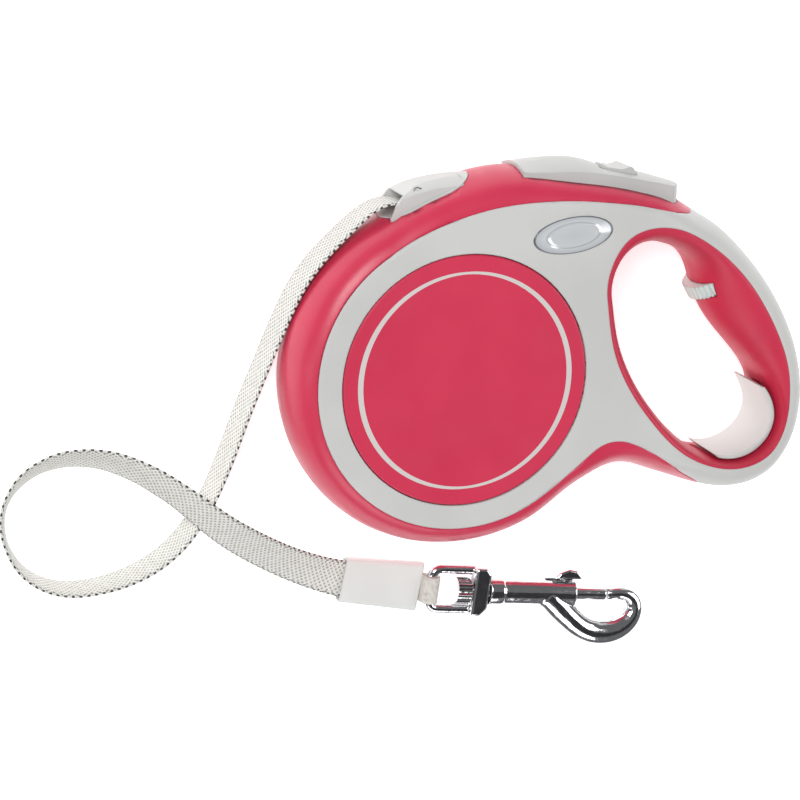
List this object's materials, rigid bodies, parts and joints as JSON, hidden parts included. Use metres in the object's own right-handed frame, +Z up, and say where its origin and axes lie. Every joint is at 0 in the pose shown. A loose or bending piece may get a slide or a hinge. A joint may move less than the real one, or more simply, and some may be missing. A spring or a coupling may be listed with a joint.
{
  "type": "retractable leash",
  "caption": "Retractable tape leash with ring grip, thumb brake, adjustable finger rest and a swivelling bolt snap; reels its tape in by spring.",
  "frame": {"origin": "centre of the lower cover disc, on the reel's axis, in the plane the casing lies on", "axes": "+Z up along the reel's axis, from the lower side face to the upper one; +X from the reel towards the grip; +Y towards the brake button"},
  "size_m": [0.3215, 0.2062, 0.036],
  "materials": {
    "red_shell": "satin",
    "red_lining": "satin",
    "grey_shell": "satin",
    "white_plastic": "satin",
    "black_plastic": "moulded",
    "badge_silver": "glossy",
    "woven_tape": "woven",
    "chrome": "polished",
    "steel": "brushed",
    "spring_steel": "blued",
    "brass": "machined"
  },
  "bodies": {
    "casing": {"casing_upper": "red_shell", "casing_lower": "red_shell", "frame_upper": "grey_shell", "frame_lower": "grey_shell", "grip_upper": "red_lining", "grip_lower": "red_lining", "label_upper": "red_shell", "label_lower": "red_shell", "badge_upper": "badge_silver", "badge_lower": "badge_silver", "nozzle": "grey_shell", "roller_pin": "steel", "pawl_pin": "steel", "pawl_spring": "spring_steel", "casing_screws": "steel", "axle": "steel", "mainspring": "spring_steel", "tape_inner": "woven_tape", "tape_lead": "woven_tape", "tape_end": "woven_tape", "sleeve": "white_plastic"},
    "reel": {"reel_drum": "black_plastic", "reel_flange": "black_plastic", "spring_cover": "black_plastic", "reel_bushes": "brass", "tape_coil": "woven_tape"},
    "roller": {"guide_roller": "white_plastic"},
    "button": {"brake_button": "white_plastic"},
    "catch": {"lock_slider": "white_plastic"},
    "pawl": {"brake_pawl": "black_plastic"},
    "adjuster": {"adjuster_wheel": "white_plastic", "adjuster_screw": "steel"},
    "rest": {"finger_rest": "white_plastic", "rest_nut": "brass"},
    "eye": {"swivel_eye": "chrome"},
    "hook": {"hook_body": "chrome", "swivel_stud": "chrome", "bolt_spring": "spring_steel"},
    "bolt": {"snap_bolt": "chrome"}
  },
  "joints": [
    {"name": "reel_spin", "type": "hinge", "parent": "casing", "child": "reel", "pos_m": [0, 0, 0.018], "axis": [0, 0, 1], "continuous": true, "deforming": ["mainspring"]},
    {"name": "roller_spin", "type": "hinge", "parent": "casing", "child": "roller", "pos_m": [-0.0156, 0.0706, 0.018], "axis": [0, 0, 1], "continuous": true},
    {"name": "brake_press", "type": "slide", "parent": "casing", "child": "button", "axis": [0, -1, 0], "range_m": [0, 0.0028], "stiffness_N_per_m": 900, "deforming": ["pawl_spring"]},
    {"name": "pawl_turn", "type": "hinge", "parent": "casing", "child": "pawl", "pos_m": [0.012, 0.0645, 0.0084], "axis": [0, 0, 1], "range_deg": [-12, 0]},
    {"name": "catch_slide", "type": "slide", "parent": "button", "child": "catch", "axis": [-0.9778, 0.2096, 0], "range_m": [0, 0.004]},
    {"name": "adjuster_turn", "type": "hinge", "parent": "casing", "child": "adjuster", "pos_m": [0.10985, 0.02808, 0.018], "axis": [0.4789, -0.8779, 0], "range_deg": [0, 1440]},
    {"name": "rest_slide", "type": "slide", "parent": "casing", "child": "rest", "axis": [-0.4789, 0.8779, 0], "range_m": [0, 0.007]},
    {"name": "eye_tilt", "type": "hinge", "parent": "casing", "child": "eye", "pos_m": [-0.00346, -0.09299, 0.0064], "axis": [0.1461, 0.9893, 0], "range_deg": [-80, 80]},
    {"name": "hook_swivel", "type": "hinge", "parent": "eye", "child": "hook", "pos_m": [0.02374, -0.09701, 0.0064], "axis": [0.9893, -0.1461, 0], "continuous": true},
    {"name": "bolt_slide", "type": "slide", "parent": "hook", "child": "bolt", "axis": [-0.9893, 0.1461, 0], "range_m": [0, 0.008], "stiffness_N_per_m": 400, "deforming": ["bolt_spring"]}
  ],
  "couplings": [
    {"joint": "pawl_turn", "follows": "brake_press", "rad_per_m": -71.43},
    {"joint": "rest_slide", "follows": "adjuster_turn", "m_per_rad": 0.00027852}
  ]
}
